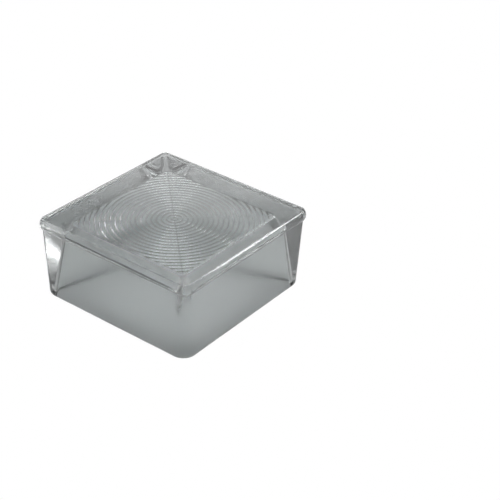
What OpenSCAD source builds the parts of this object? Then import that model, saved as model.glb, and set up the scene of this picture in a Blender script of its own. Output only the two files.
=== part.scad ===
// Pressed-glass pavement light: a square block, open underneath, with a ringed
// ceiling that spreads the daylight. It stands on the rim of its open foot.

/* [Body] */
// Width of the top face across its sides
top_width = 190; // [150:1:240]
// Height from the foot to the top face
block_height = 88; // [70:1:120]
// How far each side leans in on its way down to the foot
side_lean = 0.5; // [0:0.1:3]
// Plan radius of the corners at the top
top_corner_r = 5; // [3:0.5:10]
// Plan radius of the corners at the foot
foot_corner_r = 15; // [10:0.5:20]
// Radius of the foot's outer edge
foot_edge_r = 3.5; // [1.5:0.5:4.5]
// Radius of the top edge
top_edge_r = 0.8; // [0.4:0.1:1.5]

/* [Bead] */
// Plain strip of the side between the top edge and the bead
bead_gap = 0.2; // [0.1:0.1:5]
// Height of the bead where it leaves the side
bead_height = 12; // [6:0.5:16]
// How far the bead stands out of the side
bead_out = 2.4; // [0.5:0.1:3]

/* [Hollow] */
// Thickness of the glass between the top face and the ceiling's edge
crown = 16.5; // [12:0.5:25]
// Thickness of the wall beside the ceiling
shoulder = 20.5; // [14:0.5:30]
// Thickness of the wall at the foot
foot_wall = 6; // [5:0.5:12]
// Radius of the cove that joins the ceiling to the walls
cove_r = 2.5; // [1:0.5:4]
// Plan radius of the ceiling's corners
ceiling_corner_r = 5; // [3:0.5:10]
// Plan radius of the hollow's corners at the foot
hollow_corner_r = 12; // [8:0.5:16]

/* [Ring relief] */
// Distance from one ring to the next
ring_pitch = 5.15; // [4:0.05:8]
// Depth of a groove between two rings
ring_depth = 0.7; // [0.2:0.05:1]
// Rise of the four-sided vault from the ceiling's edge to its middle
vault_rise = 2; // [0.5:0.5:4]
// Step from the cove's edge up to the rings
ring_step = 0.2; // [0.1:0.1:1]
// Width of the ribs along the vault's creases
rib_width = 1.2; // [0.6:0.1:2]
// How far the ribs hang below the rings
rib_depth = 0.4; // [0.2:0.1:0.8]

/* [Hidden] */
glass_tint = [0.80, 0.86, 0.86, 0.45];
corner_steps = 12;
round_steps = 5;
bead_steps = 8;
overlap = 1;

foot_width = top_width - 2 * side_lean;
ceiling_width = top_width - 2 * (shoulder + cove_r);
ceiling_z = block_height - crown;
crest_z = ceiling_z + ring_step;
panel_width = ceiling_width - 2 * ring_step;
vault_angle = atan(vault_rise / (panel_width / 2));
ring_count = ceil(panel_width / 2 * sqrt(2) / ring_pitch) + 1;
level_points = 4 * (corner_steps + 1);

// Width of the outside at height z, between the foot and the top
function side_width(z) = foot_width + (top_width - foot_width) * z / block_height;
// Plan corner radius of the outside at height z
function side_corner_r(z) = foot_corner_r + (top_corner_r - foot_corner_r) * z / block_height;

// Arc of a round corner whose centre is the given distance from both middle lines
function corner_arc(middle, corner_r, quadrant, from, to, steps) = [
    for (step = [0 : steps])
        let (turn = from + (to - from) * step / steps)
            [middle * (quadrant == 0 || quadrant == 3 ? 1 : -1) + corner_r * cos(turn),
             middle * (quadrant < 2 ? 1 : -1) + corner_r * sin(turn)]];

// Outline of a square with round corners, counter-clockwise
function round_square(width, corner_r) = [
    for (quadrant = [0 : 3])
        each corner_arc(width / 2 - corner_r, corner_r, quadrant,
                        90 * quadrant, 90 * (quadrant + 1), corner_steps)];

// Level of the outside at height z, pushed out by the given amount
function side_level(z, out) = [z, side_width(z) + 2 * out, side_corner_r(z) + out];

// Solid skin through levels of [height, width, corner radius], from the lowest up
module loft(levels) {
    points = [for (level = levels, p = round_square(level[1], level[2])) [p[0], p[1], level[0]]];
    last = (len(levels) - 1) * level_points;
    strips = [
        for (low = [0 : level_points : last - 1], i = [0 : level_points - 1])
            let (j = (i + 1) % level_points, high = low + level_points)
                each [[low + i, high + i, high + j], [low + i, high + j, low + j]]];
    foot = [for (i = [0 : level_points - 1]) i];
    top = [for (i = [level_points - 1 : -1 : 0]) last + i];
    polyhedron(points = points, faces = concat(strips, [foot, top]));
}

// Outside of the block: round foot edge, sides, bead and round top edge
module outside() {
    bead_middle = block_height - top_edge_r - bead_gap - bead_height / 2;
    bead_r = (pow(bead_height / 2, 2) + pow(bead_out, 2)) / (2 * bead_out);
    foot_edge = [
        for (i = [0 : round_steps])
            let (turn = 90 * i / round_steps)
                side_level(foot_edge_r * (1 - cos(turn)), -foot_edge_r * (1 - sin(turn)))];
    bead = [
        for (i = [-bead_steps : bead_steps])
            let (rise = bead_height / 2 * i / bead_steps)
                side_level(bead_middle + rise, sqrt(pow(bead_r, 2) - pow(rise, 2)) - bead_r + bead_out)];
    top_edge = [
        for (i = [0 : round_steps])
            let (turn = 90 * i / round_steps)
                side_level(block_height - top_edge_r * (1 - sin(turn)), -top_edge_r * (1 - cos(turn)))];
    loft(concat(foot_edge, bead, top_edge));
}

// Hollow under the crown: walls that lean out to the foot, and the cove at the ceiling
module hollow() {
    cove = [
        for (i = [0 : round_steps])
            let (turn = 90 * i / round_steps, out = cove_r * cos(turn))
                [ceiling_z - cove_r * (1 - sin(turn)), ceiling_width + 2 * out, ceiling_corner_r + out]];
    loft(concat([[-overlap, foot_width - 2 * foot_wall, hollow_corner_r]], cove));
}

// Round plug whose upper face is cut by rings of triangular section
module ring_plug() {
    reach = ring_count * ring_pitch;
    depth = vault_rise + cove_r + overlap;
    rings = [
        for (i = [0 : ring_count - 1], half = [0, 1])
            [(i + half / 2) * ring_pitch, half == 0 ? ring_depth : 0]];
    rotate_extrude($fn = 180)
        polygon(concat(rings, [[reach, ring_depth], [reach, -depth], [0, -depth]]));
}

// Plan of one of the four triangular panels, with half of a round corner at each end
function panel_outline() =
    let (middle = panel_width / 2 - ceiling_corner_r)
        concat([[0, 0]],
               corner_arc(middle, ceiling_corner_r, 3, 315, 360, corner_steps / 2),
               corner_arc(middle, ceiling_corner_r, 0, 0, 45, corner_steps / 2));

// Space under the four ringed panels, which rise to the middle
module ringed_vault() {
    low = ceiling_z - cove_r / 2;
    for (side = [0 : 3])
        rotate(90 * side)
            intersection() {
                translate([0, 0, low])
                    linear_extrude(crest_z + vault_rise + ring_depth + overlap - low)
                        polygon(panel_outline());
                translate([0, 0, crest_z + vault_rise])
                    rotate([0, vault_angle, 0])
                        ring_plug();
            }
}

// Ribs that hang along the X where the four panels meet
module crease_ribs() {
    run = panel_width / 2 * sqrt(2);
    half = rib_width / 2;
    backing = ring_depth + overlap;
    for (side = [0 : 3])
        rotate(45 + 90 * side)
            translate([0, 0, crest_z + vault_rise])
                rotate([0, atan(vault_rise / run), 0])
                    rotate([90, 0, 90])
                        linear_extrude(run + cove_r)
                            polygon([[0, -rib_depth], [half, 0], [half, backing], [-half, backing], [-half, 0]]);
}

// The whole block, pressed as one piece
module glass_block() {
    color(glass_tint)
        union() {
            difference() {
                outside();
                hollow();
                ringed_vault();
            }
            crease_ribs();
        }
}

glass_block();
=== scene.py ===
# %% [markdown]
# This lesson dresses one pressed-glass block: a square pavement light with a flat top, a bead
# under its edge, and an open hollow below whose ceiling is cut with rings. The block's real size
# and its place on the floor come from the frame, so the first step is to load it.

import math

import bmesh
import bpy
import numpy as np
from mathutils import Matrix, Vector


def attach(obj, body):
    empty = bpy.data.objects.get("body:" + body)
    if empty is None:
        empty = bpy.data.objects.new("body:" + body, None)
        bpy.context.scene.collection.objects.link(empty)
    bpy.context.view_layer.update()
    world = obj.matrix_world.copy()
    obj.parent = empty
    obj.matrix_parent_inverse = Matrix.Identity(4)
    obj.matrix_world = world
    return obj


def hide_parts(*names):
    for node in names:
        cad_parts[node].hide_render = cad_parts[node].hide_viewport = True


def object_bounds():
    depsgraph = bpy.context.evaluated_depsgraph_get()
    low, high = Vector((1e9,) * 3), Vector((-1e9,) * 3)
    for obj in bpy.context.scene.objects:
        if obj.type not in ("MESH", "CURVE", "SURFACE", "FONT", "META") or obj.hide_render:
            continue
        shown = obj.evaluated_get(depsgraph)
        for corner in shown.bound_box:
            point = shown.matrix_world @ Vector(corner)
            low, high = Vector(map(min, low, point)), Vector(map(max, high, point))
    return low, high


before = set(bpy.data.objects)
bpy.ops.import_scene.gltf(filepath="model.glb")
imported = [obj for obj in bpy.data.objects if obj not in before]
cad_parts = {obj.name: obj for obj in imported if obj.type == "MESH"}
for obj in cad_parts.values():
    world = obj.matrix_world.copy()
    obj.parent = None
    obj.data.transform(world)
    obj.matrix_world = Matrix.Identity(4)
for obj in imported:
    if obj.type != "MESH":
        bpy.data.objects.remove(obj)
cad_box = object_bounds()
print("box of the solid, in metres:", [[round(v, 4) for v in corner] for corner in cad_box])

# %% [markdown]
# Glass shows everything that is behind its first face, so the thickness of each wall matters as
# much as the outline. These are the sizes that a glass presser would write on a sketch, in
# millimetres. Heights are counted from the floor and halves from the middle of the block. The
# height is taken from the frame, so that the block stands as tall as its solid.

# %% Sizes of the block
MM = 1000
HEIGHT = cad_box[1][2] * MM
TOP_HALF, FOOT_HALF = 95.0, 94.5
TOP_CORNER, FOOT_CORNER = 5.0, 15.0
TOP_EDGE, FOOT_EDGE = 0.8, 3.5
BEAD_DROP, BEAD_RISE, BEAD_OUT = 7.0, 6.0, 2.4
CROWN, CEILING_HALF, CEILING_CORNER = 16.5, 72.0, 5.0
COVE, HOLLOW_FOOT_HALF, HOLLOW_FOOT_CORNER = 2.5, 88.5, 12.0
RING_PITCH, RING_DEPTH, RING_STEP = 5.15, 0.7, 0.2
VAULT_RISE, RIB_HALF, RIB_DEPTH = 2.0, 0.6, 0.4
ceiling_z = HEIGHT - CROWN
print("height", round(HEIGHT, 1), "mm, ceiling at", round(ceiling_z, 1), "mm")

# %% [markdown]
# Every level of the block, inside and out, is a square with round corners. If each one is drawn
# with the same number of points, two levels can be joined by a strip of four-sided faces, point
# to point. A bevel on a cube could round the corners, but it can't let the corner radius grow
# from the top to the foot, so the outline is written as a function.

# %% Outline of one level
SIDE_POINTS, CORNER_POINTS = 36, 16
LEVEL_POINTS = 4 * (SIDE_POINTS + CORNER_POINTS)


def outline(half, corner):
    """Points of a square with round corners, counter-clockwise."""
    points = []
    straight = half - corner
    for side in range(4):
        turn = side * math.pi / 2
        out = np.array([math.cos(turn), math.sin(turn)])
        along = np.array([-math.sin(turn), math.cos(turn)])
        for step in range(SIDE_POINTS):
            points.append(out * half + along * straight * (2 * step / SIDE_POINTS - 1))
        for step in range(CORNER_POINTS):
            swing = math.pi / 2 * step / CORNER_POINTS
            arc = out * math.cos(swing) + along * math.sin(swing)
            points.append((out + along) * straight + corner * arc)
    return np.array(points)


def at_height(plan, z):
    return np.column_stack([plan, np.full(LEVEL_POINTS, z)])


def loft(levels):
    """Points and faces of the skin through a list of (height, half, corner)."""
    points = np.concatenate([at_height(outline(half, corner), z) for z, half, corner in levels])
    faces = []
    for level in range(len(levels) - 1):
        for i in range(LEVEL_POINTS):
            j = (i + 1) % LEVEL_POINTS
            low, high = level * LEVEL_POINTS, (level + 1) * LEVEL_POINTS
            faces.append((low + i, low + j, high + j, high + i))
    return points, faces


print("each level has", LEVEL_POINTS, "points")

# %% [markdown]
# The sides lean in by only half a millimetre on their way down, and the corners grow much rounder
# towards the foot. A rounded bead stands out of the sides just under the top. It could be a bent
# rod joined on, but as more levels of the same loft it leaves no seam inside the glass. The top
# edge and the foot edge are quarter turns, which catch the light as thin bright lines.

# %% Outside skin
TOP_EDGE_STEPS, FOOT_EDGE_STEPS, COVE_STEPS = 7, 8, 7
BEAD_LEVELS, SIDE_LEVELS, SIDE_MARGIN = 17, 14, 1.0


def side_half(z):
    return FOOT_HALF + (TOP_HALF - FOOT_HALF) * z / HEIGHT


def side_corner(z):
    return FOOT_CORNER + (TOP_CORNER - FOOT_CORNER) * z / HEIGHT


def quarter_turn(steps):
    return [math.pi / 2 * i / steps for i in range(steps + 1)]


outside = []
for turn in quarter_turn(TOP_EDGE_STEPS):
    inset = TOP_EDGE * (1 - math.sin(turn))
    outside.append((HEIGHT - TOP_EDGE * (1 - math.cos(turn)), TOP_HALF - inset, TOP_CORNER - inset))
bead_z = HEIGHT - BEAD_DROP
bead_foot_z = bead_z - BEAD_RISE
bead_radius = (BEAD_RISE**2 + BEAD_OUT**2) / (2 * BEAD_OUT)
for z in np.linspace(bead_z + BEAD_RISE, bead_foot_z, BEAD_LEVELS):
    out = math.sqrt(bead_radius**2 - (z - bead_z) ** 2) - (bead_radius - BEAD_OUT)
    outside.append((z, side_half(z) + out, side_corner(z) + out))
for z in np.linspace(bead_foot_z - SIDE_MARGIN, FOOT_EDGE + SIDE_MARGIN, SIDE_LEVELS):
    outside.append((z, side_half(z), side_corner(z)))
for turn in reversed(quarter_turn(FOOT_EDGE_STEPS)):
    z, inset = FOOT_EDGE * (1 - math.cos(turn)), FOOT_EDGE * (1 - math.sin(turn))
    outside.append((z, side_half(z) - inset, side_corner(z) - inset))
outside_skin = loft(outside)
print("outside skin:", len(outside), "levels")

# %% [markdown]
# The ceiling of the hollow is the fine part of the block. It is a shallow vault of four triangular
# panels, which meet in an X of thin ribs, and concentric rings are pressed into it. Each ring is a
# crest between two hollow grooves, and its slope changes all the way: on every side of the panel
# some of it then turns the light away and draws a line. A grid of squares would make jagged rings,
# so the mesh is polar: circles that are cut off at the panel's square edge, where an upright step
# draws a fine line round it.

# %% Ringed ceiling
CIRCLES_PER_RING = 10


def ceiling_height(x, y):
    """Height of the ceiling over its edge: the vault, less the ring and the rib that hang from it."""
    vault = VAULT_RISE * (1 - max(abs(x), abs(y)) / CEILING_HALF)
    across = (math.hypot(x, y) / RING_PITCH) % 1.0
    ring = RING_DEPTH * (1 - abs(2 * across - 1)) ** 2
    off_crease = abs(abs(x) - abs(y)) / math.sqrt(2)
    rib = RIB_DEPTH * max(0.0, 1 - off_crease / RIB_HALF)
    return RING_STEP + vault + RING_DEPTH - ring - rib


def ringed_ceiling():
    """Points and faces of the ceiling: circles, then the foot of the step and the ceiling's edge."""
    edge = outline(CEILING_HALF, CEILING_CORNER)
    reach = np.linalg.norm(edge, axis=1)
    spokes, panel = edge / reach[:, None], reach - RING_STEP
    spacing = RING_PITCH / CIRCLES_PER_RING
    circles = [spacing * k for k in range(1, int(panel.max() / spacing) + 2)]
    points, index = [(0, 0, ceiling_z + ceiling_height(0, 0))], {}
    for k, radius in enumerate(circles):
        for j in range(LEVEL_POINTS):
            if k and circles[k - 1] >= panel[j]:
                index[k, j] = index[k - 1, j]
                continue
            x, y = spokes[j] * min(radius, panel[j])
            index[k, j] = len(points)
            points.append((x, y, ceiling_z + ceiling_height(x, y)))
    last = len(circles)
    for k, radii in ((last, panel), (last + 1, reach)):
        for j in range(LEVEL_POINTS):
            index[k, j] = len(points)
            points.append((*(spokes[j] * radii[j]), ceiling_z))
    faces = []
    for j in range(LEVEL_POINTS):
        n = (j + 1) % LEVEL_POINTS
        faces.append((0, index[0, j], index[0, n]))
        for k in range(last + 1):
            face = dict.fromkeys([index[k, j], index[k + 1, j], index[k + 1, n], index[k, n]])
            if len(face) > 2:
                faces.append(tuple(face))
    return np.array(points), faces


ceiling_skin = ringed_ceiling()
print("ceiling:", len(ceiling_skin[1]), "faces")

# %% [markdown]
# From the ceiling a small cove turns down into the walls of the hollow, which lean outwards so
# that the plunger could be drawn out. The wall is thick at the top and thin at the foot. A boolean
# could cut the hollow out of a solid block, but lofted levels keep its faces even. A flat rim joins
# the inside to the outside, and a flat cap closes the top.

# %% Hollow, rim and top
WALL_LEVELS = 13
hollow = []
for turn in quarter_turn(COVE_STEPS):
    z, out = ceiling_z - COVE * (1 - math.cos(turn)), COVE * math.sin(turn)
    hollow.append((z, CEILING_HALF + out, CEILING_CORNER + out))
cove_z, cove_half, cove_corner = hollow[-1]
for part in np.linspace(0, 1, WALL_LEVELS)[1:]:
    half = cove_half + (HOLLOW_FOOT_HALF - cove_half) * part
    hollow.append((cove_z * (1 - part), half, cove_corner + (HOLLOW_FOOT_CORNER - cove_corner) * part))
hollow_skin = loft(hollow)
rim_skin = loft([outside[-1], hollow[-1]])
top_skin = (at_height(outline(*outside[0][1:]), HEIGHT), [tuple(range(LEVEL_POINTS))])
print("wall at the foot:", round(FOOT_HALF - HOLLOW_FOOT_HALF, 1), "mm")

# %% [markdown]
# The five skins are joined into one closed body, because glass bends light right only when every
# face knows which side is glass. Each face remembers its finish: polished for the top, the bead and
# the ceiling, smooth for the sides, and satin for the walls of the hollow. Edges that turn by more
# than 15 degrees stay sharp, the crests of the rings too. A crest that is smoothed over loses its
# dark line, because less of the ring then turns the light away.

# %% Join the skins
POLISHED, SMOOTH, SATIN = 0, 1, 2
SHARP_TURN, SAME_POINT, ON_LINE = math.radians(15), 0.002, 0.01
points, faces, finishes, first = [], [], [], 0
for (skin_points, skin_faces), finish in (
    (top_skin, POLISHED),
    (outside_skin, SMOOTH),
    (rim_skin, SMOOTH),
    (hollow_skin, SATIN),
    (ceiling_skin, POLISHED),
):
    points.append(skin_points / MM)
    faces += [tuple(i + first for i in face) for face in skin_faces]
    finishes += [finish] * len(skin_faces)
    first += len(skin_points)

mesh = bpy.data.meshes.new("glass_block_body")
mesh.from_pydata(np.concatenate(points).tolist(), [], faces)
mesh.polygons.foreach_set("material_index", finishes)
body = bmesh.new()
body.from_mesh(mesh)
bmesh.ops.remove_doubles(body, verts=body.verts, dist=SAME_POINT / MM)
bmesh.ops.recalc_face_normals(body, faces=body.faces)
for face in body.faces:
    face.smooth = True
    if face.material_index == SMOOTH and face.calc_center_median().z * MM > bead_foot_z:
        face.material_index = POLISHED
for edge in body.edges:
    ends = [v.co * MM for v in edge.verts]
    on_crease = all(abs(abs(p.x) - abs(p.y)) < ON_LINE and abs(p.x) < CEILING_HALF for p in ends)
    turned = len(edge.link_faces) == 2 and edge.calc_face_angle() > SHARP_TURN
    edge.smooth = not (turned or on_crease)
open_edges = sum(not edge.is_manifold for edge in body.edges)
volume = body.calc_volume()
body.to_mesh(mesh)
body.free()
block = bpy.data.objects.new("glass_block_body", mesh)
bpy.context.scene.collection.objects.link(block)
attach(block, "root")
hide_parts("glass_block")
print("one body,", len(mesh.polygons), "faces,", open_edges, "open edges,", round(volume * 1e6), "cm3")

# %% [markdown]
# Pressed glass is never quite flat: the mould leaves a fine pebble on the walls and a slow wave on
# the polished faces. Both are the same thing at different sizes, so they come from one node
# group, which turns a noise of a given grain into a height for a Bump node.

# %% Mould grain, a node group


def mould_grain_group():
    group = bpy.data.node_groups.new("mould grain", "ShaderNodeTree")
    group.interface.new_socket("Grains per metre", in_out="INPUT", socket_type="NodeSocketFloat")
    group.interface.new_socket("Height", in_out="OUTPUT", socket_type="NodeSocketFloat")
    nodes, links = group.nodes, group.links
    given, made = nodes.new("NodeGroupInput"), nodes.new("NodeGroupOutput")
    place, noise = nodes.new("ShaderNodeTexCoord"), nodes.new("ShaderNodeTexNoise")
    noise.inputs["Detail"].default_value = 3
    links.new(place.outputs["Object"], noise.inputs["Vector"])
    links.new(given.outputs["Grains per metre"], noise.inputs["Scale"])
    links.new(noise.outputs["Fac"], made.inputs["Height"])
    return group


mould_grain = mould_grain_group()
print("node group:", mould_grain.name)

# %% [markdown]
# One glass, three finishes. Base Color is the slight grey of a thick piece, Transmission Weight
# makes it clear, and IOR is that of soda-lime glass. Only the roughness and the grain differ. The
# satin sits on the inside of the walls: on the outside it would blur the crisp lines that the
# hollow's corners draw through the glass. The finishes are made in the order of their numbers.

# %% Three finishes of one glass
GLASS_COLOUR, GLASS_IOR = (0.84, 0.87, 0.87, 1.0), 1.52


def glass_finish(name, roughness, grains_per_metre, relief):
    material = bpy.data.materials.new(name)
    material.use_nodes = True
    nodes, links = material.node_tree.nodes, material.node_tree.links
    shader = nodes["Principled BSDF"]
    shader.inputs["Base Color"].default_value = GLASS_COLOUR
    shader.inputs["Transmission Weight"].default_value = 1.0
    shader.inputs["IOR"].default_value = GLASS_IOR
    shader.inputs["Roughness"].default_value = roughness
    grain, bump = nodes.new("ShaderNodeGroup"), nodes.new("ShaderNodeBump")
    grain.node_tree = mould_grain
    grain.inputs["Grains per metre"].default_value = grains_per_metre
    bump.inputs["Distance"].default_value = relief / MM
    links.new(grain.outputs["Height"], bump.inputs["Height"])
    links.new(bump.outputs["Normal"], shader.inputs["Normal"])
    mesh.materials.append(material)
    print("finish", name, "roughness", roughness)


glass_finish("polished glass", roughness=0.0, grains_per_metre=25, relief=0.02)
glass_finish("smooth glass", roughness=0.05, grains_per_metre=350, relief=0.01)
glass_finish("satin glass", roughness=0.22, grains_per_metre=300, relief=0.12)

# %% [markdown]
# The block stands on a plain pale floor. To the camera the floor is white, through Light Path, and
# a small share of that white shows in the glass too. The rest of what the glass shows is the floor
# as it is lit, with the shadow and the light that the block throws on it.

# %% Floor
FLOOR_SIZE, FLOOR_COLOUR, WHITE_IN_GLASS = 3.0, (0.5, 0.5, 0.5, 1), 0.04
bpy.ops.mesh.primitive_plane_add(size=FLOOR_SIZE, location=(0, 0, 0))
floor = bpy.context.object
floor.name = "floor"
floor_paint = bpy.data.materials.new("pale floor")
floor_paint.use_nodes = True
nodes, links = floor_paint.node_tree.nodes, floor_paint.node_tree.links
paint = nodes["Principled BSDF"]
paint.inputs["Base Color"].default_value = FLOOR_COLOUR
paint.inputs["Roughness"].default_value = 0.7
white, mix = nodes.new("ShaderNodeEmission"), nodes.new("ShaderNodeMixShader")
path, in_glass, share = (nodes.new("ShaderNode" + kind) for kind in ("LightPath", "Math", "Math"))
in_glass.operation = "MAXIMUM"
links.new(path.outputs["Is Transmission Ray"], in_glass.inputs[0])
links.new(path.outputs["Is Glossy Ray"], in_glass.inputs[1])
share.operation = "MULTIPLY_ADD"
share.inputs[1].default_value = WHITE_IN_GLASS
links.new(in_glass.outputs[0], share.inputs[0])
links.new(path.outputs["Is Camera Ray"], share.inputs[2])
links.new(share.outputs[0], mix.inputs[0])
links.new(paint.outputs[0], mix.inputs[1])
links.new(white.outputs[0], mix.inputs[2])
links.new(mix.outputs[0], nodes["Material Output"].inputs[0])
floor.data.materials.append(floor_paint)
print("floor:", tuple(floor.dimensions))

# %% [markdown]
# Glass is lit by what it sees, so the lamps are few. A wide soft one hangs almost straight above
# and lights the floor in the hollow, which is what shows through the walls and the rings. A small
# card low on the right shines through the block and brightens its left corner. Each lamp has a
# name, a place, a width, a height and a power, and all of them face the middle of the block.

# %% Lamps
LAMPS = (
    ("top lamp", (-0.241, -0.139, 1.576), 1.2, 1.2, 28),
    ("side card", (0.818, -0.79, 0.63), 0.25, 0.4, 4.2),
)
LAMP_AIM = Vector((0, 0, 0.05))
for name, place, width, height, power in LAMPS:
    light = bpy.data.lights.new(name, "AREA")
    light.shape, light.size, light.size_y, light.energy = "RECTANGLE", width, height, power
    lamp = bpy.data.objects.new(name, light)
    bpy.context.scene.collection.objects.link(lamp)
    lamp.location = place
    lamp.rotation_euler = (LAMP_AIM - Vector(place)).to_track_quat("-Z", "Y").to_euler()
    print(name, power, "W")

# %% [markdown]
# The room is white to the camera and dark to the glass, for dark lines in it, apart from a glow low
# behind the block that only mirrored rays see. It lays a pale sheen on the far part of the top, as
# a bright wall would. It fades out softly, because the edge of a lamp would show as a line on the
# flat glass, and rays that come out through the glass skip it, so the rings keep their dark sides.

# %% World
GLOW, GLOW_WAY = 1.3, math.radians(42)
GLOW_FULL, GLOW_GONE = math.radians(27), math.radians(34)
world = bpy.data.worlds.new("studio")
bpy.context.scene.world = world
world.use_nodes = True
nodes, links = world.node_tree.nodes, world.node_tree.links
way, toward = nodes.new("ShaderNodeTexCoord"), nodes.new("ShaderNodeVectorMath")
toward.operation = "DOT_PRODUCT"
toward.inputs[1].default_value = (math.cos(GLOW_WAY), math.sin(GLOW_WAY), 0)
links.new(way.outputs["Generated"], toward.inputs[0])
fade = nodes.new("ShaderNodeMapRange")
fade.interpolation_type = "SMOOTHSTEP"
fade.inputs["From Min"].default_value = math.cos(GLOW_GONE)
fade.inputs["From Max"].default_value = math.cos(GLOW_FULL)
fade.inputs["To Max"].default_value = GLOW
links.new(toward.outputs["Value"], fade.inputs["Value"])
path = nodes.new("ShaderNodeLightPath")
mirrored, sheen, seen = (nodes.new("ShaderNodeMath") for _ in range(3))
mirrored.operation, mirrored.use_clamp = "SUBTRACT", True
links.new(path.outputs["Is Glossy Ray"], mirrored.inputs[0])
links.new(path.outputs["Is Transmission Ray"], mirrored.inputs[1])
sheen.operation = "MULTIPLY"
links.new(fade.outputs["Result"], sheen.inputs[0])
links.new(mirrored.outputs[0], sheen.inputs[1])
seen.operation = "ADD"
links.new(sheen.outputs[0], seen.inputs[0])
links.new(path.outputs["Is Camera Ray"], seen.inputs[1])
backdrop = nodes["Background"]
backdrop.inputs["Color"].default_value = (1, 1, 1, 1)
links.new(seen.outputs[0], backdrop.inputs["Strength"])
print("world:", world.name, "with a glow of", GLOW)

# %% [markdown]
# The camera looks down by about 32 degrees at the corner of the block, through a long lens. Its
# place was worked out from the block's outline in the picture. Aiming it by hand would be quicker,
# but the lines inside the glass move with the smallest turn. A ray can turn many times in thick
# glass, so more bounces than usual are allowed, and nothing clamps the light that comes through.

# %% Camera
FOCAL_PIXELS, FRAME_PIXELS, SENSOR = 1304.4, 500, 36.0
azimuth, elevation, roll = (math.radians(v) for v in (-53.489, 31.866, 2.26))
place = Vector((-0.8626, -0.7346, 0.7509))
level = Vector((math.cos(azimuth), math.sin(azimuth), 0))
behind = Vector((math.sin(azimuth), -math.cos(azimuth), 0))
back = behind * math.cos(elevation) + Vector((0, 0, math.sin(elevation)))
upward = back.cross(level)
right = level * math.cos(roll) + upward * math.sin(roll)
up = upward * math.cos(roll) - level * math.sin(roll)
lens = bpy.data.cameras.new("camera")
lens.sensor_width, lens.lens = SENSOR, SENSOR * FOCAL_PIXELS / FRAME_PIXELS
camera = bpy.data.objects.new("camera", lens)
camera.matrix_world = Matrix.Translation(place) @ Matrix((right, up, back)).transposed().to_4x4()
bpy.context.scene.collection.objects.link(camera)
bpy.context.scene.camera = camera
bpy.context.scene.view_settings.view_transform = "Standard"
paths = bpy.context.scene.cycles
paths.max_bounces, paths.glossy_bounces, paths.transmission_bounces = 32, 24, 24
paths.sample_clamp_indirect = 0.0
paths.blur_glossy = 0.3
print("lens", round(lens.lens, 1), "mm, distance", round(place.length, 2), "m")
